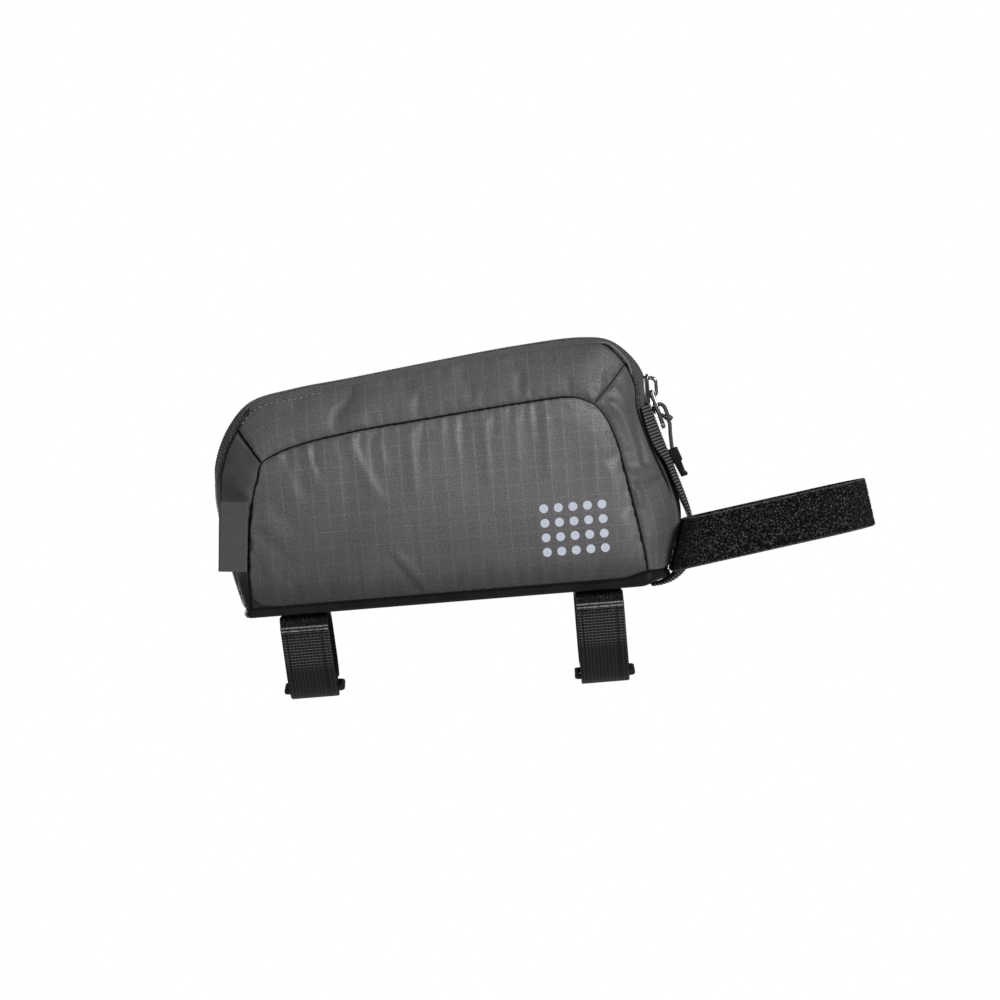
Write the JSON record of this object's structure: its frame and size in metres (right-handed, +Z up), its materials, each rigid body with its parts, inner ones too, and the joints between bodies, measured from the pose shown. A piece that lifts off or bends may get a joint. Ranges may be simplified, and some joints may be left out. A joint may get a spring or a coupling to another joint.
{
  "type": "top tube bag",
  "caption": "Soft zipped pouch of bevelled cloth panels on a stiffened base, with ring straps below and a hook-and-loop strap at its nose, to carry small things on a tube.",
  "frame": {"origin": "middle of the underside of the base, where the bag is seated on a tube", "axes": "+X forward towards the nose strap, +Y to the left, +Z up out of the tube"},
  "size_m": [0.2755, 0.052, 0.1448],
  "materials": {
    "ripstop_cloth": "dark grey ripstop weave with a soft sheen",
    "coated_cloth": "darker coated cloth, smooth",
    "zip_cloth": "fine woven zip tape, matt",
    "black_webbing": "ribbed black webbing, matt",
    "grey_webbing": "ribbed dark grey webbing, matt",
    "loop_pile": "fuzzy black loop pile",
    "label_twill": "grey twill, bare",
    "black_plastic": "black moulded plastic",
    "gunmetal": "dark plated metal, polished"
  },
  "bodies": {
    "bag": {"base_panel": "coated_cloth", "side_panel_right": "ripstop_cloth", "side_panel_left": "ripstop_cloth", "rear_band_right": "coated_cloth", "rear_band_left": "coated_cloth", "top_band_right": "ripstop_cloth", "top_band_left": "ripstop_cloth", "front_band_right": "ripstop_cloth", "front_band_left": "ripstop_cloth", "rear_strip": "coated_cloth", "front_strip": "ripstop_cloth", "zip_flap_right": "ripstop_cloth", "zip_flap_left": "ripstop_cloth", "zip_tape_right": "zip_cloth", "zip_tape_left": "zip_cloth", "base_strap_front": "black_webbing", "ring_strap_front": "black_webbing", "strap_ring_front": "black_plastic", "base_strap_rear": "black_webbing", "ring_strap_rear": "black_webbing", "strap_ring_rear": "black_plastic", "nose_strap": "loop_pile", "keeper_webbing": "grey_webbing", "label_tab": "label_twill", "zip_slider": "gunmetal"},
    "pull": {"pull_tab": "gunmetal", "pull_cord": "grey_webbing", "pull_grip": "black_plastic"}
  },
  "joints": [
    {"name": "pull_swing", "type": "hinge", "parent": "bag", "child": "pull", "pos_m": [0.08845, 0, 0.0808], "axis": [0, -1, 0], "range_deg": [0, 100]}
  ]
}
